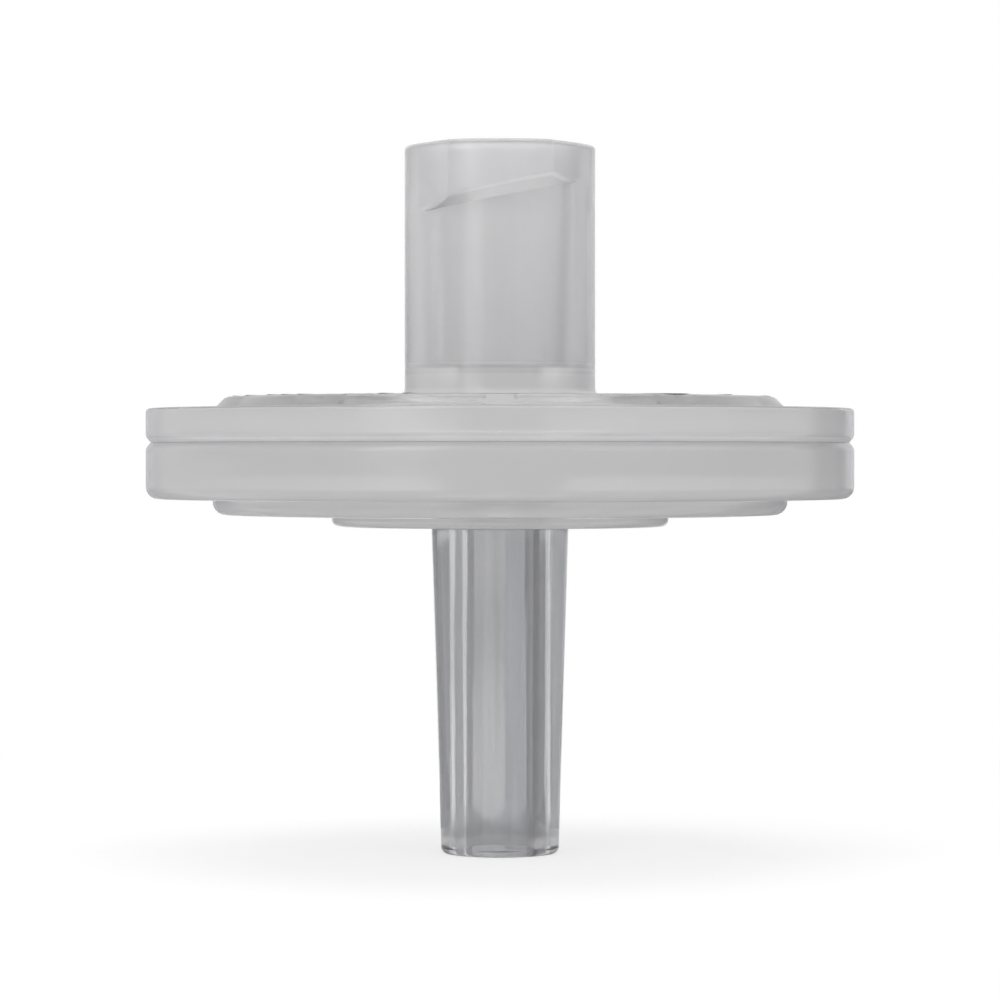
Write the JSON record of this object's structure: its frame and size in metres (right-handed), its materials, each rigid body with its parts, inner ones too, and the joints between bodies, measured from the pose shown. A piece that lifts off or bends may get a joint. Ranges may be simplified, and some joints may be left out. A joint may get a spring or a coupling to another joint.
{
  "type": "syringe filter",
  "caption": "Disposable disc filter: a lockable conical inlet tube above, a tapered outlet below, and a membrane sealed in the flat disc between them.",
  "frame": {"origin": "centre of the outlet's flat tip, the lowest point of the part", "axes": "+Z along the flow axis, from the outlet tip up to the inlet mouth; the two locking lugs point to -Y and +Y"},
  "size_m": [0.024, 0.024, 0.024],
  "materials": {
    "inlet_plastic": "natural translucent polypropylene, satin from a fine mould texture",
    "outlet_plastic": "natural translucent polypropylene, polished and clearer on the outlet tube",
    "membrane_film": "opaque white porous film",
    "print_ink": "thin black pad-printed ink"
  },
  "bodies": {
    "root": {"inlet_housing": "inlet_plastic", "membrane": "membrane_film", "outlet_housing": "outlet_plastic"}
  },
  "joints": []
}
